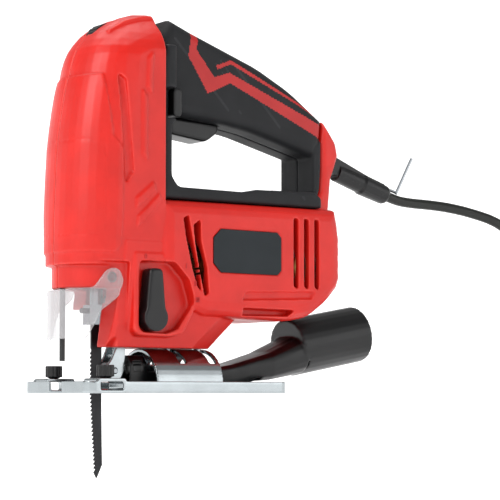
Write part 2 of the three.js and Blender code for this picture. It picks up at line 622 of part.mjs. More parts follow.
function pendulum() {
  const arm = [[-41, 10.6, 1], [-38.5, 7.9, 2], [-32, 7.9, 3], [-28.6, 14, 4], [-28.5, 30, 4], [-28.5, 50, 2],
    [-29, 61.5, 3], [-37, 61.5, 3], [-37.4, 46], [-34.5, 30, 6], [-38, 21.5, 4], [-41, 17.5, 2]];
  const fork = cut(
    join(profile(arm, -6.2, -4.3), profile(arm, 4.3, 6.2), box(-30.8, -28.5, -6, 6, 24, 50)),
    rodY(2.3, -10, 10, FORK_PIVOT.x, FORK_PIVOT.z, 16),
    rodY(1.7, -10, 10, ROLLER.x, ROLLER.z, 16),
  );
  const roller = toSolid(new THREE.LatheGeometry([
    [1.7, -ROLLER.half], [ROLLER.radius, -ROLLER.half], [ROLLER.radius, -1.1], [ROLLER.radius - 0.1, -0.9],
    [ROLLER.radius - 0.1, 0.9], [ROLLER.radius, 1.1], [ROLLER.radius, ROLLER.half],
    [1.7, ROLLER.half], [1.7, -ROLLER.half],
  ].map(([radius, along]) => new THREE.Vector2(radius, along)), 24).translate(ROLLER.x, 0, ROLLER.z));
  const lever = profile([[KNOB.x - 7.4, KNOB.z], [KNOB.x - 4.6, KNOB.z + KNOB.reach, 3],
    [KNOB.x + 4.8, KNOB.z + KNOB.reach, 3], [KNOB.x + 7.4, KNOB.z]], -36, -25.4, 1.4);
  const knob = cut(
    join(rodY(KNOB.radius, -36, -25.4, KNOB.x, KNOB.z, 28), lever),
    rodY(2.4, -33, -20, KNOB.x, KNOB.z, 16),
  );
  const shaft = join(
    rodY(2.1, -32.6, -6, KNOB.x, KNOB.z, 16),
    rodY(3.9, -24, -9, KNOB.x, KNOB.z, 20),
    box(KNOB.x - 2.3, KNOB.x + 2.2, -6.6, 6.4, KNOB.z - 2.3, KNOB.z + 2.3),
  );
  return group(
    mesh('pendulum_fork', fork, FINISH.zinc),
    mesh('fork_pin', rodY(2, -11.9, 11.9, FORK_PIVOT.x, FORK_PIVOT.z, 16), FINISH.steel),
    mesh('guide_roller', roller, FINISH.steel),
    mesh('roller_pin', rodY(1.4, -6.8, 6.8, ROLLER.x, ROLLER.z, 16), FINISH.steel),
    mesh('selector_knob', knob, FINISH.black),
    mesh('selector_shaft', shaft, FINISH.steel),
  );
}

// ---- shoe, bevel saddle and dust extraction ------------------------------------------------

function shoe() {
  const [halfX, halfY] = [SHOE.length / 2, SHOE.width / 2];
  const rectangle = (inset, corner) => [[-halfX + inset, -halfY + inset, corner],
    [halfX - inset, -halfY + inset, corner],
    [halfX - inset, halfY - inset, corner], [-halfX + inset, halfY - inset, corner]];
  const pan = plan(rectangle(0, SHOE.corner), 0, SHOE.lip)
    .subtract(plan(rectangle(SHOE.sheet, SHOE.corner - 1.5), SHOE.sheet, 20));
  const slot = plan([[-halfX - 5, -SHOE.slotHalf], [SHOE.slotEnd, -SHOE.slotHalf, 5],
    [SHOE.slotEnd, SHOE.slotHalf, 5],
    [-halfX - 5, SHOE.slotHalf]], -5, 20);
  const [fenceFrom, fenceTo] = [FENCE.x - FENCE.width / 2, FENCE.x + FENCE.width / 2];
  const arch = (side) => {
    const [y0, y1] = side < 0 ? [-halfY, -FENCE.innerY] : [FENCE.innerY, halfY];
    const roof = profile([[fenceFrom - 3.6, 1], [fenceTo + 3.6, 1], [fenceTo + 1.6, FENCE.roof + 2, 1],
      [fenceFrom - 1.6, FENCE.roof + 2, 1]], y0, y1);
    return roof;
  };
  const tunnel = box(fenceFrom, fenceTo, -halfY - 5, halfY + 5, SHOE.sheet, FENCE.roof);
  const screwHoles = [-FENCE.y, FENCE.y].map((y) => rodZ(2.8, 4, 20, FENCE.x, y, 16));
  return cut(join(pan, arch(-1), arch(1)), tunnel, slot, ...screwHoles);
}

function fenceScrew(y) {
  const knurls = Array.from({ length: 12 }, (_, index) => {
    const angle = index * Math.PI / 6;
    return rodZ(0.8, 9, 20, FENCE.x + 5.6 * Math.cos(angle), y + 5.6 * Math.sin(angle), 6);
  });
  const head = cut(rodZ(5.4, 10, 17, FENCE.x, y), ...knurls);
  return join(head, rodZ(2.4, 7.4, 11, FENCE.x, y, 16), rodZ(3.6, 9.3, 10.4, FENCE.x, y, 6));
}

function saddle() {
  const inner = BEVEL.outer - BEVEL.sheet;
  const tube = rodX(BEVEL.outer, BEVEL.from, BEVEL.to, 0, BEVEL.z, 48)
    .subtract(rodX(inner, BEVEL.from - 1, BEVEL.to + 1, 0, BEVEL.z, 48))
    .intersect(box(-50, 50, -50, 50, BEVEL.z, 50));
  const leg = (side) => {
    const [y0, y1] = side < 0 ? [-BEVEL.outer, -inner] : [inner, BEVEL.outer];
    return box(BEVEL.from, BEVEL.to, y0, y1, SHOE.sheet + GAP, BEVEL.z + 0.01);
  };
  const spread = Math.tan(THREE.MathUtils.degToRad(BEVEL.slotHalfDeg)) * 30;
  const sector = [[0, BEVEL.z], [spread, BEVEL.z + 30], [-spread, BEVEL.z + 30]];
  const slots = BEVEL_BOLTS.map((x) => section(sector, x - 2.8, x + 2.8));
  return cut(join(tube, leg(-1), leg(1)), ...slots);
}

const bevelBolt = (x) => join(rodZ(4.4, 20.4, 24.5, x, 0, 6), rodZ(2.4, 24, 36, x, 0, 16));

function dustDuct() {
  const hood = section([[-11, 2.3], [11, 2.3], [11, 18, 3], [6.5, 23.5, 3], [-6.5, 23.5, 3],
    [-11, 18, 3]], -27.5, -15.5);
  const channel = box(-16, 37.4, -11, 11, 2.3, 13.4);
  const core = join(box(-40, 50, -9.4, 9.4, 3.9, 11.8), box(-40, -17.1, -9.4, 9.4, 3.9, 18));
  return cut(join(hood, channel), core, box(-25.5, -18.5, -20, 20, 13.5, 20));
}

// Flat neck widening into a round hose socket that rises to the rear.
const BELL = { from: 104, to: 163, radius: 19, x0: 104, z0: 30.2, slopeDeg: 10 };

function adapterRing(x, halfWidth, low, high, squareness) {
  const count = 20;
  return Array.from({ length: count }, (_, index) => {
    const angle = index * 2 * Math.PI / count;
    const [c, s] = [Math.cos(angle), Math.sin(angle)];
    const shrink = (Math.abs(c) ** squareness + Math.abs(s) ** squareness) ** (-1 / squareness);
    return [x, halfWidth * c * shrink, (low + high) / 2 + (high - low) / 2 * s * shrink];
  });
}

function neck(inset, from, to) {
  const stations = [[37.8, 13, 2.8, 16.4, 8], [52, 13.6, 3.2, 19, 6], [68, 15.4, 7.9, 23.4, 5],
    [80, 17, 8.4, 27, 4], [108, 18.2, 12.6, 40, 2.6]];
  return loft(stations.map(([x, half, low, high, square], index) => adapterRing(
    index === 0 ? from : (index === stations.length - 1 ? to : x), half - inset, low + inset, high - inset,
      square)));
}

function bell(radius, from, to) {
  const geometry = new THREE.CylinderGeometry(radius, radius, to - from, 28);
  const slope = THREE.MathUtils.degToRad(BELL.slopeDeg);
  geometry.rotateZ(-Math.PI / 2).translate((from + to) / 2 - BELL.x0, 0, 0);
  return toSolid(geometry.rotateY(-slope).translate(BELL.x0, 0, BELL.z0));
}

function dustAdapter() {
  const outer = join(neck(0, 37.8, 108), bell(BELL.radius, BELL.from, BELL.to));
  return cut(outer, neck(1.8, 36, 111), bell(BELL.radius - 2, BELL.from + 2, BELL.to + 4));
}

function base() {
  return group(
    mesh('shoe_plate', shoe(), FINISH.zinc),
    mesh('bevel_saddle', saddle(), FINISH.zinc),
    mesh('bevel_bolt_front', bevelBolt(BEVEL_BOLTS[0]), FINISH.steel),
    mesh('bevel_bolt_rear', bevelBolt(BEVEL_BOLTS[1]), FINISH.steel),
    mesh('fence_screw_left', fenceScrew(-FENCE.y), FINISH.black),
    mesh('fence_screw_right', fenceScrew(FENCE.y), FINISH.black),
    mesh('dust_duct', dustDuct(), FINISH.black),
    mesh('dust_adapter', dustAdapter(), FINISH.black),
  );
}

// ---- guard, controls and switch -----------------------------------------------------------

function bladeGuard() {
  const side = [[-90, 33.5, 2], [-66, 32.4, 3], [-58, 50, 5], [-47.5, 58, 5], [-43.5, 68, 6], [-47.5, 77, 5],
    [-55, 74, 5], [-62, 63.5, 4], [-90, 61.5]];
  const innerFace = noseColumn(GUARD.inset + GUARD.thick, -20, 10, 95);
  const shield = noseColumn(GUARD.inset, -30, 20, 90).subtract(innerFace);
  const pins = bothSidesRod(3, 22.4, 27.6, GUARD.pivotX, GUARD.pivotZ);
  return join(shield.intersect(profile(side, -40, 40)), ...pins);
}

function controls() {
  const dialTeeth = Array.from({ length: 20 }, (_, index) => {
    const angle = index * Math.PI / 10;
    return rodY(0.9, -8, 8, DIAL.x + 12.9 * Math.cos(angle), DIAL.z + 12.9 * Math.sin(angle), 6);
  });
  const dial = cut(rodY(DIAL.radius, -4.9, 4.9, DIAL.x, DIAL.z, 40), ...dialTeeth);
  const trigger = join(
    profile([[2.7, 163.6, 4], [31, 160.6, 8], [40.6, 167.6, 4], [40.4, 173.6], [2.7, 174.6]], -9, 9, 2),
    box(8, 30, -6, 6, 173, 180),
  );
  const helix = new THREE.CatmullRomCurve3(Array.from({ length: 41 }, (_, index) => {
    const angle = index * 2 * Math.PI * 4 / 40;
    return new THREE.Vector3(19 + 3.4 * Math.cos(angle), 3.4 * Math.sin(angle), 180.8 + 4.2 * index / 40);
  }));
  const wire = new THREE.Shape().absarc(0, 0, 0.4, 0, 2 * Math.PI);
  const winding = { steps: 44, curveSegments: 2, extrudePath: helix, bevelEnabled: false };
  const spring = toSolid(new THREE.ExtrudeGeometry(wire, winding));
  const switchBody = join(box(5, 38, -11, 11, 186, 206), box(12, 26, -7, 7, 205, 210));
  const button = [[-4.6, 172, 2.6], [2.1, 172, 2.6], [2.1, 190, 2.6], [-4.6, 190, 2.6]];
  const lock = profile(button, -23.5, -8, 1.2);
  return group(
    mesh('speed_dial', dial, FINISH.black),
    mesh('trigger', trigger, FINISH.black),
    mesh('trigger_spring', spring, FINISH.steel),
    mesh('switch_module', switchBody, FINISH.black),
    mesh('lock_button', lock, FINISH.black),
    mesh('blade_guard', bladeGuard(), FINISH.clear),
    mesh('finger_rod', rodZ(1.7, 19.5, 74, -70, 0, 16), FINISH.black),
  );
}

// ---- cord, strain relief and key ----------------------------------------------------------

const RELIEF = { start: new THREE.Vector3(132, 0, 154.5), end: new THREE.Vector3(190.5, 0, 137.8) };

function alongRelief(profilePoints) {
  const axis = RELIEF.end.clone().sub(RELIEF.start);
  const turn = new THREE.Quaternion().setFromUnitVectors(new THREE.Vector3(0, 1, 0), axis.normalize());
  const outline = profilePoints.map(([radius, along]) => new THREE.Vector2(radius, along));
  const geometry = new THREE.LatheGeometry(outline, 20);
  return toSolid(geometry.applyQuaternion(turn).translate(RELIEF.start.x, RELIEF.start.y, RELIEF.start.z));
}

function strainRelief() {
  const length = RELIEF.start.distanceTo(RELIEF.end);
  const sleeve = alongRelief([[0, 14], [6, 14], [6.4, 36], [7.2, 38], [6.6, length - 2], [5.6, length],
    [0, length]]);
  const web = profile([[135, 163.5], [171, 149.8, 2], [187, 145, 1], [186, 140], [170, 141],
    [135, 150.5]], -4.2, 4.2);
  return { sleeve, web };
}

// The key's long arm lies in the web; its short arm stands up behind it.
const KEY = { from: 152, bend: 201, z0: 152.2, z1: 140.6, radius: 1.15 };

function keyArm(radius, extra) {
  const start = new THREE.Vector3(KEY.from, 0, KEY.z0);
  const end = new THREE.Vector3(KEY.bend, 0, KEY.z1);
  const axis = end.clone().sub(start);
  const geometry = new THREE.CylinderGeometry(radius, radius, axis.length() + 2 * extra, 6);
  const turn = new THREE.Quaternion().setFromUnitVectors(new THREE.Vector3(0, 1, 0), axis.normalize());
  const middle = start.add(end).multiplyScalar(0.5);
  return toSolid(geometry.applyQuaternion(turn).translate(middle.x, middle.y, middle.z));
}

const CORD_ROUTE = [
  [190.8, 0, 137.72], [202, -0.6, 134.9], [214, -2, 133.8], [228, -5, 133.2], [243, -9, 131.8],
  [260, -14, 128.6], [279, -20, 122.6], [295, -22.5, 112], [307, -20, 95], [314, -14, 74], [316, -8, 51],
  [316, -2.5, 28], [315, 1.5, 7], [315, 4, -10], [319, 5.5, -24], [328, 6.5, -34],
];

function cordTube() {
  const stations = CORD_ROUTE.map(([x, y, z]) => new THREE.Vector3(x, y, z));
  const path = new THREE.CatmullRomCurve3(stations, false, 'centripetal');
  const circle = new THREE.Shape().absarc(0, 0, CORD.radius, 0, 2 * Math.PI);
  const sweep = { steps: 24, curveSegments: 5, extrudePath: path, bevelEnabled: false };
  return toSolid(new THREE.ExtrudeGeometry(circle, sweep));
}

function power() {
  const { sleeve, web } = strainRelief();
  const rise = new THREE.CylinderGeometry(KEY.radius, KEY.radius, 30, 6).translate(0, 14, 0);
  const leaning = new THREE.Vector3(0.5, 0, 0.87).normalize();
  const lean = new THREE.Quaternion().setFromUnitVectors(new THREE.Vector3(0, 1, 0), leaning);
  const upright = toSolid(rise.applyQuaternion(lean).translate(KEY.bend, 0, KEY.z1));
  const relief = cut(join(sleeve, web), keyArm(KEY.radius + GAP, 12));
  const coil = new THREE.LatheGeometry([
    [CORD.coilInner, 0], [CORD.coilOuter, 0], [CORD.coilOuter, CORD.coilHeight],
    [CORD.coilInner, CORD.coilHeight], [CORD.coilInner, 0],
  ].map(([radius, up]) => new THREE.Vector2(radius, up)), 40);
  coil.rotateX(Math.PI / 2).translate(CORD.coilX, CORD.coilY, CORD.floor);
  const [px, py, pz] = [CORD.coilX, CORD.coilY - 28, CORD.floor + CORD.coilHeight + GAP];
  const plugBody = join(
    plan([[px - 17, py - 17, 3], [px + 17, py - 17, 6], [px + 17, py + 17, 6],
      [px - 17, py + 17, 3]], pz, pz + 15, 2.5),
    rodX(2.4, px - 36, px - 16, py - 9.5, pz + 7.5, 12),
    rodX(2.4, px - 36, px - 16, py + 9.5, pz + 7.5, 12),
  );
  return group(
    mesh('strain_relief', relief, FINISH.black),
    mesh('hex_key', join(keyArm(KEY.radius, 0), upright), FINISH.steel),
    mesh('cord', cordTube(), FINISH.cable),
    mesh('cord_coil', toSolid(coil), FINISH.cable),
    mesh('plug', plugBody, FINISH.cable),
  );
}

const jigsaw = group(casing(), drive(), reciprocating(), pendulum(), base(), controls(), power());

export default jigsaw;
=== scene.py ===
"""Corded jigsaw: fine moulded surfaces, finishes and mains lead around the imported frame."""

import json
import logging
import math
from collections.abc import Iterable
from dataclasses import dataclass, field
from enum import Enum

import bpy
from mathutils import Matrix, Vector


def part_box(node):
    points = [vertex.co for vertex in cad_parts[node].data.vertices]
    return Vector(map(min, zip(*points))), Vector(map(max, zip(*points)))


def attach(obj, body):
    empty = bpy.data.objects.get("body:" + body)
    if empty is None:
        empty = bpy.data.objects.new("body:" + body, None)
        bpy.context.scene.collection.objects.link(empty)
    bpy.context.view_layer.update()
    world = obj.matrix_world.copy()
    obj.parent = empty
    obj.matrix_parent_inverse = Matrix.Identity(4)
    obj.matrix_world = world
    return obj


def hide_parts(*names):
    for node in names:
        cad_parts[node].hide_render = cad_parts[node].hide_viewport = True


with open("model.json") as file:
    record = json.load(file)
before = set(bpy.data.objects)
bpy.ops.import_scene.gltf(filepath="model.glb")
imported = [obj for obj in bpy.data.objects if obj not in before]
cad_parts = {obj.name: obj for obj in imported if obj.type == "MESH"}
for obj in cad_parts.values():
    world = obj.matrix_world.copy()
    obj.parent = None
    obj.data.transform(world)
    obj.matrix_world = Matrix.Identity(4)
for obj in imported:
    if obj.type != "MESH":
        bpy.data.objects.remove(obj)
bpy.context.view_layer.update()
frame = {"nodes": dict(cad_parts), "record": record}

LOG = logging.getLogger("jigsaw")
MM = 0.001
BENCH_Z = -0.062          # surface that the lead lies on, below the blade's lowest point
CLOUD_MM = 18             # rough size of the slow changes of shade
FLECK_MM = 2.2            # rough size of the small flecks
DULLED = 0.82             # how bright the duller patches are
EDGE_FROM, EDGE_TO = 0.505, 0.56      # pointiness at which the edge wear and the painted highlight on ridges start and are full
ROUND_EDGE = 34           # degrees below which two faces are shaded as one
GRIP_SIDE = 8             # distance in millimetres from the middle at which the grip's sides start

Point = tuple[float, float, float]
Outline = list[tuple[float, float]]


# ---- shader trees ---------------------------------------------------------------------------


class Sheet:
    """The node tree of one finish."""

    def __init__(self, name: str) -> None:
        """Starts an empty tree.

        Args:
            name: name of the new material.
        """
        self.material = bpy.data.materials.new(name)
        self.material.use_nodes = True
        self.tree = self.material.node_tree
        self.tree.nodes.clear()

    def add(self, kind: str, settings: dict | None = None, sockets: dict | None = None) -> bpy.types.Node:
        """Adds one node.

        Args:
            kind: the node's type.
            settings: its settings, set first.
            sockets: values or links by socket name or number.

        Returns:
            The new node.
        """
        node = self.tree.nodes.new(kind)
        for key, value in (settings or {}).items():
            setattr(node, key, value)
        for key, value in (sockets or {}).items():
            if isinstance(value, Value):
                self.tree.links.new(value.socket, node.inputs[key])
            elif isinstance(value, bpy.types.NodeSocket):
                self.tree.links.new(value, node.inputs[key])
            else:
                node.inputs[key].default_value = value
        return node

    def place(self) -> bpy.types.NodeSocket:
        """Object coordinates of the shaded point."""
        return self.add("ShaderNodeTexCoord").outputs["Object"]

    def noise(self, size_mm: float, detail: float = 3.0, stretch: Point = (1, 1, 1)) -> "Value":
        """Soft noise of a given grain.

        Args:
            size_mm: rough size of one grain.
            detail: how many finer layers it has.
            stretch: how many times longer a grain is along each axis.

        Returns:
            A value between 0 and 1.
        """
        place = self.add("ShaderNodeMapping", sockets={
            "Vector": self.place(), "Scale": [1 / s for s in stretch]}).outputs[0]
        texture = self.add("ShaderNodeTexNoise", sockets={
            "Vector": place, "Scale": 1000 / size_mm, "Detail": detail})
        return Value(self, texture.outputs[0])

    def mix(self, factor: "Value", first: tuple, second: tuple) -> bpy.types.NodeSocket:
        """Colour between two colours.

        Args:
            factor: 0 for the first colour and 1 for the second.
            first: linear red, green and blue.
            second: linear red, green and blue, or a colour socket.

        Returns:
            The mixed colour's socket.
        """
        colours = [c if isinstance(c, bpy.types.NodeSocket) else (*c, 1.0) for c in (first, second)]
        node = self.add("ShaderNodeMix", {"data_type": "RGBA"}, {0: factor, 6: colours[0], 7: colours[1]})
        return node.outputs[2]


class Value:
    """A number in a shader tree, with arithmetic that adds Math nodes."""

    def __init__(self, sheet: Sheet, socket: bpy.types.NodeSocket) -> None:
        """Wraps one output socket."""
        self.sheet = sheet
        self.socket = socket

    def _math(self, operation: str, first: "Value | float", second: "Value | float") -> "Value":
        """One Math node on two numbers."""
        node = self.sheet.add("ShaderNodeMath", {"operation": operation}, {0: first, 1: second})
        return Value(self.sheet, node.outputs[0])

    def __add__(self, other: "Value | float") -> "Value":
        """Sum."""
        return self._math("ADD", self, other)

    def __radd__(self, other: float) -> "Value":
        """Sum with a plain number first."""
        return self._math("ADD", other, self)

    def __sub__(self, other: "Value | float") -> "Value":
        """Difference."""
        return self._math("SUBTRACT", self, other)

    def __rsub__(self, other: float) -> "Value":
        """Difference from a plain number."""
        return self._math("SUBTRACT", other, self)

    def __mul__(self, other: "Value | float") -> "Value":
        """Product."""
        return self._math("MULTIPLY", self, other)

    def __rmul__(self, other: float) -> "Value":
        """Product with a plain number first."""
        return self._math("MULTIPLY", other, self)

    def step(self, low: float, high: float) -> "Value":
        """Smooth rise from 0 at low to 1 at high."""
        node = self.sheet.add("ShaderNodeMapRange", {"interpolation_type": "SMOOTHSTEP"}, {
            "Value": self, "From Min": low, "From Max": high})
        return Value(self.sheet, node.outputs[0])


class Surface(Enum):
    """How a finish's fine relief looks."""

    MOULDED = "fine pebble of a moulded plastic"
    BRUSHED = "fine lines of rolled or ground metal"
    SMOOTH = "no relief beyond slight waviness"


@dataclass(frozen=True)
class Finish:
    """Colour and texture of one of the saw's materials.

    Sizes are in millimetres and colours are linear.
    """

    name: str
    colour: tuple[float, float, float]
    # lighter colour of sharp edges: real edge wear together with a painted highlight on the ridges
    worn_and_highlit: tuple[float, float, float]
    roughness: float
    surface: Surface = Surface.MOULDED
    grain: float = 0.35
    depth: float = 0.03
    metallic: float = 0.0
    coat: float = 0.0
    alpha: float = 1.0
    # how strongly sharp edges take that lighter colour, as wear and painted highlight together
    edge_wear_and_highlight: float = 0.0
    shine: float = 0.5

    def material(self) -> bpy.types.Material:
        """Builds the finish's material.

        Returns:
            The new material.
        """
        sheet = Sheet(self.name)
        stretch = (14, 1, 1) if self.surface is Surface.BRUSHED else (1, 1, 1)
        grain = sheet.noise(self.grain, 4, stretch)
        cloud = sheet.noise(CLOUD_MM, 3)
        fleck = sheet.noise(FLECK_MM, 5)
        # Sharp edges, found by pointiness, are tinted lighter: partly wear, partly a painted highlight on the
        # ridges.
        pointed = Value(sheet, sheet.add("ShaderNodeNewGeometry").outputs["Pointiness"])
        edges = pointed.step(EDGE_FROM, EDGE_TO)
        wear_and_highlight = edges * (0.4 + 0.6 * fleck) * self.edge_wear_and_highlight
        dulled = tuple(c * DULLED for c in self.colour)
        base = sheet.mix(cloud.step(0.3, 0.7) * 0.6 + fleck * 0.3, self.colour, dulled)
        colour = sheet.mix(wear_and_highlight, base, self.worn_and_highlit) if self.edge_wear_and_highlight else base
        rough = self.roughness + (cloud - 0.5) * 0.16 + (grain - 0.5) * 0.12
        relief = grain + cloud * 0.6
        bump = sheet.add("ShaderNodeBump", sockets={
            "Strength": 0.5, "Distance": self.depth * MM, "Height": relief})
        shader = sheet.add("ShaderNodeBsdfPrincipled", sockets={
            "Base Color": colour, "Roughness": rough, "Metallic": self.metallic,
            "Specular IOR Level": self.shine, "Coat Weight": self.coat, "Coat Roughness": 0.12,
            "Alpha": self.alpha,
            "Normal": bump.outputs[0]})
        sheet.add("ShaderNodeOutputMaterial", sockets={"Surface": shader.outputs[0]})
        return sheet.material


RED = Finish("red_nylon", (0.56, 0.011, 0.006), (0.78, 0.10, 0.08), 0.38, edge_wear_and_highlight=0.5, depth=0.035, shine=0.34)
TRIM = Finish("red_trim", (0.40, 0.010, 0.010), (0.6, 0.05, 0.05), 0.42, depth=0.04, shine=0.35)
GRIP = Finish("charcoal_rubber", (0.009, 0.0095, 0.011), (0.05, 0.05, 0.055), 0.6, grain=0.5, depth=0.09,
              edge_wear_and_highlight=0.35, shine=0.26)
BLACK = Finish("black_nylon", (0.0025, 0.0025, 0.003), (0.05, 0.05, 0.052), 0.34, grain=0.4, depth=0.04,
               edge_wear_and_highlight=0.3, shine=0.36)
SLATE = Finish("slate_label", (0.010, 0.014, 0.017), (0.07, 0.08, 0.09), 0.4, Surface.SMOOTH, depth=0.01,
               shine=0.2)
ZINC = Finish("zinc_plate", (0.40, 0.435, 0.45), (0.8, 0.82, 0.83), 0.2, Surface.BRUSHED, 0.5, 0.012, 1.0)
STEEL = Finish("ground_steel", (0.33, 0.35, 0.37), (0.7, 0.7, 0.7), 0.24, Surface.BRUSHED, 0.4, 0.01, 1.0)
OXIDE = Finish("black_oxide", (0.012, 0.012, 0.014), (0.2, 0.2, 0.21), 0.36, Surface.BRUSHED, 0.4, 0.012, 0.4,
               shine=0.4)
ALLOY = Finish("cast_alloy", (0.36, 0.36, 0.37), (0.6, 0.6, 0.6), 0.45, Surface.MOULDED, 0.8, 0.06, 1.0)
BRASS = Finish("dull_brass", (0.5, 0.34, 0.12), (0.7, 0.5, 0.25), 0.34, Surface.BRUSHED, 0.4, 0.01, 1.0)
COPPER = Finish("varnished_winding", (0.36, 0.12, 0.04), (0.5, 0.22, 0.1), 0.38, Surface.BRUSHED, 0.9, 0.08,
                0.6)
CARBON = Finish("pressed_carbon", (0.02, 0.02, 0.02), (0.08, 0.08, 0.08), 0.6, grain=0.6, depth=0.05)
JACKET = Finish("cable_jacket", (0.006, 0.007, 0.005), (0.04, 0.04, 0.04), 0.42, grain=0.6, depth=0.05,
                shine=0.4)


def clear_polycarbonate() -> bpy.types.Material:
    """Clear guard plastic: see-through, with fine scratches and a painted bright rim where it is seen
    edge-on.

    Returns:
        The new material.
    """
    sheet = Sheet("clear_polycarbonate")
    scratch = sheet.noise(0.7, 6, (1, 1, 9)).step(0.56, 0.7)
    haze = sheet.noise(9, 3)
    # painted rim reflection: the guard is made more opaque where it is seen edge-on
    edges = Value(sheet, sheet.add("ShaderNodeLayerWeight", sockets={"Blend": 0.35}).outputs["Facing"])
    bump = sheet.add("ShaderNodeBump", sockets={
        "Strength": 0.3, "Distance": 0.04 * MM, "Height": haze + scratch * 0.3})
    shader = sheet.add("ShaderNodeBsdfPrincipled", sockets={
        "Base Color": (0.5, 0.49, 0.5, 1), "Roughness": 0.08 + scratch * 0.2, "IOR": 1.5,
        "Alpha": 0.22 + edges * 0.6 + scratch * 0.06, "Normal": bump.outputs[0]})
    sheet.add("ShaderNodeOutputMaterial", sockets={"Surface": shader.outputs[0]})
    return sheet.material


class Paints:
    """The saw's materials, each made once, when it is first asked for."""

    made: dict[str, bpy.types.Material] = {}

    @classmethod
    def of(cls, finish: Finish) -> bpy.types.Material:
        """The material of a finish."""
        if finish.name not in cls.made:
            cls.made[finish.name] = finish.material()
        return cls.made[finish.name]

    @classmethod
    def clear(cls) -> bpy.types.Material:
        """The material of the guard."""
        if "clear" not in cls.made:
            cls.made["clear"] = clear_polycarbonate()
        return cls.made["clear"]


# ---- working a mesh -------------------------------------------------------------------------


def only(piece: bpy.types.Object) -> None:
    """Makes a piece the one that operators act on."""
    bpy.ops.object.select_all(action="DESELECT")
    piece.select_set(True)
    bpy.context.view_layer.objects.active = piece


def apply_modifier(piece: bpy.types.Object, kind: str, **settings: object) -> None:
    """Adds one modifier and applies it.

    Args:
        piece: the piece it shapes.
        kind: the modifier's type.
        settings: the modifier's settings.
    """
    only(piece)
    modifier = piece.modifiers.new(kind.lower(), kind)
    for key, value in settings.items():
        setattr(modifier, key, value)
    bpy.ops.object.modifier_apply(modifier=modifier.name)


def copy_of(node: str, name: str) -> bpy.types.Object:
    """A merged copy of a CAD node.

    Args:
        node: the node's name.
        name: the new piece's name.

    Returns:
        The piece, with its own welded mesh.
    """
    source = frame["nodes"][node]
    piece = bpy.data.objects.new(name, source.data.copy())
    piece.data.name = name
    bpy.context.scene.collection.objects.link(piece)
    only(piece)
    bpy.ops.object.mode_set(mode="EDIT")
    bpy.ops.mesh.select_all(action="SELECT")
    bpy.ops.mesh.remove_doubles(threshold=0.000002)
    bpy.ops.mesh.customdata_custom_splitnormals_clear()
    bpy.ops.object.mode_set(mode="OBJECT")
    return piece


def shade(piece: bpy.types.Object, degrees: float = ROUND_EDGE) -> None:
    """Smooths the shading across edges flatter than an angle."""
    only(piece)
    bpy.ops.object.shade_smooth_by_angle(angle=math.radians(degrees))


def dress(piece: bpy.types.Object, material: bpy.types.Material, body: str) -> bpy.types.Object:
    """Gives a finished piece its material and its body.

    Args:
        piece: the finished piece.
        material: what it is made of.
        body: the CAD body that it moves with.

    Returns:
        The same piece.
    """
    piece.data.materials.clear()
    piece.data.materials.append(material)
    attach(piece, body)
    LOG.info("%s rides on %s", piece.name, body)
    return piece


def inside(outline: Outline, x: float, z: float) -> bool:
    """Whether a point in the side view lies in an outline."""
    found = False
    for (x0, z0), (x1, z1) in zip(outline, outline[1:] + outline[:1]):
        if (z0 > z) != (z1 > z) and x < x0 + (x1 - x0) * (z - z0) / (z1 - z0):
            found = not found
    return found


# ---- moulded shells -------------------------------------------------------------------------


@dataclass
class MouldedShell:
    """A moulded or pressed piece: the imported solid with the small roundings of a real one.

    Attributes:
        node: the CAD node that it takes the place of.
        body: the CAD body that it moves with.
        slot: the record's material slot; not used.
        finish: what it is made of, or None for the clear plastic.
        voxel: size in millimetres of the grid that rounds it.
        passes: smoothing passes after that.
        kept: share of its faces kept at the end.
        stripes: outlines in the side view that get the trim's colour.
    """

    node: str
    body: str
    slot: str
    finish: Finish | None
    voxel: float = 0.85
    passes: int = 4
    kept: float = 1.0
    stripes: list[Outline] = field(default_factory=list)

    def build(self) -> bpy.types.Object:
        """Rounds the shell, marks its coloured stripes and dresses it.

        Returns:
            The finished shell.
        """
        piece = copy_of(self.node, f"{self.node}_moulding")
        apply_modifier(piece, "REMESH", mode="VOXEL", voxel_size=self.voxel * MM, adaptivity=0.0)
        apply_modifier(piece, "SMOOTH", factor=0.5, iterations=self.passes)
        if self.kept < 1:
            apply_modifier(piece, "DECIMATE", ratio=self.kept)
        for stripe in self.stripes:
            self.score(piece, stripe)
        only(piece)
        bpy.ops.object.shade_smooth()
        dress(piece, Paints.of(self.finish) if self.finish else Paints.clear(), self.body)
        if self.stripes:
            self.colour(piece)
        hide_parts(self.node)
        return piece

    def score(self, piece: bpy.types.Object, stripe: Outline) -> None:
        """Cuts a stripe's edges into the mesh, so that its border is sharp."""
        only(piece)
        bpy.ops.object.mode_set(mode="EDIT")
        for (x0, z0), (x1, z1) in zip(stripe, stripe[1:] + stripe[:1]):
            bpy.ops.mesh.select_all(action="SELECT")
            bpy.ops.mesh.bisect(plane_co=(x0 * MM, 0, z0 * MM), plane_no=(z1 - z0, 0, x0 - x1))
        bpy.ops.object.mode_set(mode="OBJECT")

    def colour(self, piece: bpy.types.Object) -> None:
        """Gives the faces inside the stripes the trim's colour."""
        piece.data.materials.append(Paints.of(TRIM))
        for face in piece.data.polygons:
            x, y, z = face.center / MM
            if abs(y) > GRIP_SIDE and any(inside(stripe, x, z) for stripe in self.stripes):
                face.material_index = 1


STRIPE = [(9.2, 212.2), (24.2, 189.8), (42.2, 198.3), (117, 168.5), (118.8, 177.1), (41.2, 205),
          (29.5, 200.8), (15.2, 217.1), (18.4, 227.6), (12.4, 229.6)]
ACCENT = [(31, 208.5), (42.6, 213.2), (116, 184), (116.4, 182.2), (42.4, 210.6), (31.6, 206)]


# ---- other pieces ---------------------------------------------------------------------------


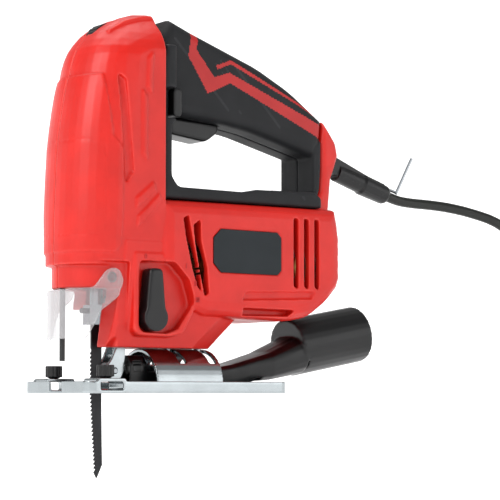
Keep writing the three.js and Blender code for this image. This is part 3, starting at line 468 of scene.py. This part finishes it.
@dataclass
class SmoothedPart:
    """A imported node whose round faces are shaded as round."""

    node: str
    body: str
    slot: str
    finish: Finish | None
    degrees: float = ROUND_EDGE

    def build(self) -> bpy.types.Object:
        """Copies the node, shades it and dresses it.

        Returns:
            The finished part.
        """
        piece = copy_of(self.node, f"{self.node}_finished")
        shade(piece, self.degrees)
        dress(piece, Paints.of(self.finish) if self.finish else Paints.clear(), self.body)
        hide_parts(self.node)
        return piece


FINISH_OF = {
    "housing": RED, "grip": GRIP, "badge": SLATE, "black_plastic": BLACK, "zinc_plate": ZINC, "steel": STEEL,
    "blade_steel": OXIDE, "alloy": ALLOY, "brass": BRASS, "copper": COPPER, "carbon": CARBON, "cable": JACKET,
}


# Voxel size in millimetres, smoothing passes and, for the largest, the share of faces kept.
ROUNDED = {
    "housing_left": (0.72, 4, 0.42), "housing_right": (0.72, 4, 0.42),
    "grip_left": (0.8, 6), "grip_right": (0.8, 6),
    "selector_knob": (0.45, 36), "trigger": (0.5, 6), "lock_button": (0.4, 6), "speed_dial": (0.35, 3),
    "dust_adapter": (0.7, 6), "dust_duct": (0.5, 3),
    "fence_screw_left": (0.35, 3), "fence_screw_right": (0.35, 3),
    "blade_guard": (0.45, 5), "strain_relief": (0.3, 2), "plug": (0.5, 6), "shoe_plate": (0.6, 2),
    "bevel_saddle": (0.5, 3), "pendulum_fork": (0.4, 3), "guide_roller": (0.35, 3), "badge_left": (0.35, 2),
    "badge_right": (0.35, 2), "plunger_carrier": (0.6, 2), "gear_case": (0.6, 2),
}


def every_part() -> list[MouldedShell | SmoothedPart]:
    """Every node of the record except the lead, rounded where the real piece is.

    Returns:
        One builder for each node.
    """
    bodies = {node: body for body, nodes in frame["record"]["behaviour"]["bodies"].items() for node in nodes}
    slots = {entry["node"]: entry["material_slot"] for entry in frame["record"]["subparts"]}
    parts = []
    for node, slot in slots.items():
        if node in ("cord", "cord_coil"):
            continue
        finish = FINISH_OF.get(slot)
        if node in ROUNDED:
            stripes = [STRIPE, ACCENT] if slot == "grip" else []
            parts.append(MouldedShell(node, bodies[node], slot, finish, *ROUNDED[node], stripes=stripes))
        else:
            parts.append(SmoothedPart(node, bodies[node], slot, finish))
    return parts


@dataclass
class SelectorMarks:
    """Raised figures round the pendulum selector."""

    height: float = 4.2
    marks: tuple[tuple[str, float, float, float], ...] = (
        ("0", -30.5, -31.5, 83.0), ("I", -2.2, -34.0, 78.2),
        ("II", 4.6, -34.0, 67.5), ("III", 6.6, -33.9, 57.5))

    def build(self) -> None:
        """Makes one raised figure for each step."""
        for number, (text, x, y, z) in enumerate(self.marks):
            bpy.ops.object.select_all(action="DESELECT")
            bpy.ops.object.text_add(location=(x * MM, y * MM, z * MM), rotation=(math.pi / 2, 0, 0))
            mark = bpy.context.object
            mark.data.body = text
            mark.data.size = self.height * MM
            mark.data.extrude = 0.22 * MM
            mark.data.bevel_depth = 0.08 * MM
            mark.data.align_x, mark.data.align_y = "CENTER", "CENTER"
            mark.name = f"selector_mark_{number}"
            only(mark)
            bpy.ops.object.convert(target="MESH")
            bpy.ops.object.transform_apply(location=True, rotation=True, scale=True)
            dress(bpy.context.object, Paints.of(TRIM), "housing")


# ---- mains lead -----------------------------------------------------------------------------


@dataclass
class MainsLead:
    """The lead from the strain relief to the plug, with its spare length wound into a coil."""

    radius: float = 3.5
    route: list[Point] = field(default_factory=lambda: [
        (190.8, 0, 137.72), (202, -0.6, 134.9), (214, -2, 133.8), (228, -5, 133.2), (243, -9, 131.8),
        (260, -14, 128.6), (279, -20, 122.6), (295, -22.5, 112), (307, -20, 95), (314, -14, 74),
        (316, -8, 51), (316, -2.5, 28), (315, 1.5, 7), (315, 4, -10), (319, 5.5, -24), (328, 6.5, -34)])
    axis: tuple[float, float] = (342, -43)
    inner: float = 35.0
    outer: float = 42.0
    entry_degrees: float = 90.0
    turns: int = 7
    start_radius: float = 50.0
    lead_in_degrees: float = 100.0
    tail_bend: float = 28.0

    def coil(self) -> list[Point]:
        """Centreline of the wound stretch: down the inner column, then up the outer one.

        Returns:
            Points in millimetres.
        """
        points = []
        pitch = 2 * self.radius
        low = BENCH_Z / MM + self.radius
        top = low + 3 * pitch
        lead_in, steps = 7, 24
        first = self.entry_degrees - self.lead_in_degrees
        for step in range(lead_in):
            share = step / lead_in
            radius = self.start_radius + (self.inner - self.start_radius) * share
            points.append(self.at(radius, self.entry_degrees - self.lead_in_degrees * share, top))
        for step in range(self.turns * steps + 1):
            turn = step / steps
            radius = self.inner + (self.outer - self.inner) * min(max(turn - 3, 0), 1)
            if turn < 4:
                height = max(top - pitch * turn, low)
            else:
                height = low + pitch * (turn - 4) + max(turn - 6, 0) * 9
            points.append(self.at(radius, first - 360 * turn, height))
        return points

    def at(self, radius: float, degrees: float, height: float) -> Point:
        """A point round the coil's axis."""
        angle = math.radians(degrees)
        return self.axis[0] + radius * math.cos(angle), self.axis[1] + radius * math.sin(angle), height

    def tail(self) -> list[Point]:
        """The last stretch: a quarter turn on top of the coil into the plug."""
        low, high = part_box("plug")
        gland = (high.x / MM + 0.3, (low.y + high.y) / 2 / MM, (low.z + high.z) / 2 / MM)
        bend = self.tail_bend
        points = []
        for degrees in (-32, -50, -68, -84):
            angle = math.radians(degrees)
            points.append((gland[0] + bend * math.cos(angle), gland[1] + bend + bend * math.sin(angle),
                           gland[2] - 2 * math.cos(angle)))
        return [*points, gland]

    def build(self) -> bpy.types.Object:
        """Returns:
            The lead.
        """
        points = smooth_path(self.route + self.coil() + self.tail(), 3)
        curve = bpy.data.curves.new("mains_lead", "CURVE")
        curve.dimensions = "3D"
        curve.bevel_depth = self.radius * MM
        curve.bevel_resolution = 4
        curve.use_fill_caps = True
        spline = curve.splines.new("POLY")
        spline.points.add(len(points) - 1)
        for target, point in zip(spline.points, points):
            target.co = (*(c * MM for c in point), 1)
        lead = bpy.data.objects.new("mains_lead", curve)
        bpy.context.scene.collection.objects.link(lead)
        spline.use_smooth = True
        curve.materials.append(Paints.of(JACKET))
        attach(lead, "housing")
        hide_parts("cord", "cord_coil")
        return lead


def smooth_path(points: list[Point], parts: int) -> list[Point]:
    """Catmull-Rom curve through given points.

    Args:
        points: the points it passes through.
        parts: pieces between two of them.

    Returns:
        The finer list of points.
    """
    ends = [points[0], *points, points[-1]]
    fine = []
    for a, b, c, d in zip(ends, ends[1:], ends[2:], ends[3:]):
        for part in range(parts):
            t = part / parts
            fine.append(tuple(0.5 * (2 * q + (r - p) * t + (2 * p - 5 * q + 4 * r - s) * t * t
                                     + (3 * q - p - 3 * r + s) * t ** 3) for p, q, r, s in zip(a, b, c, d)))
    return fine + [points[-1]]


# ---- studio ---------------------------------------------------------------------------------


@dataclass
class Studio:
    """Pale floor, soft lights and the camera."""

    camera_place: Point = (-0.6163, -0.914, 0.0)
    lens: float = 125.86
    azimuth: float = 37.0
    tilt: float = 2.73
    lights: tuple[tuple[str, Point, float, float], ...] = (
        ("key", (-1.7, -0.5, 1.3), 1.1, 30),
        ("fill", (1.3, -1.7, 0.7), 1.4, 5),
        ("top", (0.0, 0.5, 2.1), 1.5, 22))
    aim: Point = (0.03, 0, 0.1)
    surround: float = 0.4
    room_radius: float = 6.0
    wall_height: float = 2.4

    def build(self) -> None:
        """Makes the camera, the lights, the sky, the floor and the wall."""
        self.camera()
        for name, place, size, watts in self.lights:
            self.light(name, place, size, watts)
        self.sky()
        self.floor()
        self.wall()

    def camera(self) -> None:
        """Places the camera and makes it the scene's own."""
        data = bpy.data.cameras.new("camera")
        data.lens = self.lens
        data.sensor_width = 36
        data.shift_y = 0.12
        data.clip_end = 50
        camera = bpy.data.objects.new("camera", data)
        camera.location = self.camera_place
        camera.rotation_euler = (math.radians(90 + self.tilt), 0, math.radians(-self.azimuth))
        bpy.context.scene.collection.objects.link(camera)
        bpy.context.scene.camera = camera

    def light(self, name: str, place: Point, size: float, watts: float) -> None:
        """Adds a square soft light that faces the saw.

        Args:
            name: its name.
            place: its place in metres.
            size: the length of its side.
            watts: its power.
        """
        data = bpy.data.lights.new(name, "AREA")
        data.size = size
        data.energy = watts
        lamp = bpy.data.objects.new(name, data)
        lamp.location = place
        lamp.rotation_euler = (Vector(self.aim) - Vector(place)).to_track_quat("-Z", "Y").to_euler()
        bpy.context.scene.collection.objects.link(lamp)

    def sky(self) -> None:
        """Sets an even soft surrounding."""
        world = bpy.data.worlds.new("white_room")
        world.use_nodes = True
        background = world.node_tree.nodes["Background"]
        background.inputs["Color"].default_value = (1, 1, 1, 1)
        background.inputs["Strength"].default_value = self.surround
        bpy.context.scene.world = world
        bpy.context.scene.view_settings.view_transform = "Standard"

    def floor(self) -> None:
        """Lays the bench top that the lead lies on."""
        bpy.ops.object.select_all(action="DESELECT")
        bpy.ops.mesh.primitive_circle_add(
            vertices=96, radius=self.room_radius + 0.1, fill_type="NGON", location=(0, 0, 0))
        floor = bpy.context.object
        floor.name = "bench"
        for vertex in floor.data.vertices:
            vertex.co.z = BENCH_Z - 0.0004
        self.whiten(floor, "pale_bench", 0.93, 0.5)

    def wall(self) -> None:
        """Stands a pale round wall about the floor, the same from every side."""
        bpy.ops.object.select_all(action="DESELECT")
        bpy.ops.mesh.primitive_cylinder_add(
            vertices=96, radius=self.room_radius, depth=self.wall_height, end_fill_type="NOTHING",
            location=(0, 0, 0))
        wall = bpy.context.object
        wall.name = "studio_wall"
        for vertex in wall.data.vertices:
            vertex.co.z += self.wall_height / 2 + BENCH_Z
        self.whiten(wall, "pale_wall", 0.5, 0.9)

    def whiten(self, piece: bpy.types.Object, name: str, grey: float, glow: float) -> None:
        """Gives a piece of the studio its pale, slightly glowing finish.

        Args:
            piece: floor or wall.
            name: name of the finish.
            grey: how much light it throws back.
            glow: how much light of its own it adds.
        """
        sheet = Sheet(name)
        cloud = sheet.noise(60, 3)
        shader = sheet.add("ShaderNodeBsdfPrincipled", sockets={
            "Base Color": (grey, grey, grey, 1), "Roughness": 0.75 + cloud * 0.1,
            "Emission Color": (1, 1, 1, 1), "Emission Strength": glow})
        sheet.add("ShaderNodeOutputMaterial", sockets={"Surface": shader.outputs[0]})
        piece.data.materials.append(sheet.material)


def build_all(parts: Iterable[object]) -> None:
    """Builds parts one after another."""
    for part in parts:
        part.build()


def main() -> None:
    """Builds the studio, the lead and every part of the saw."""
    logging.basicConfig(level=logging.INFO, format="%(name)s: %(message)s")
    Studio().build()
    build_all(every_part())
    SelectorMarks().build()
    MainsLead().build()


if __name__ == "__main__":
    main()
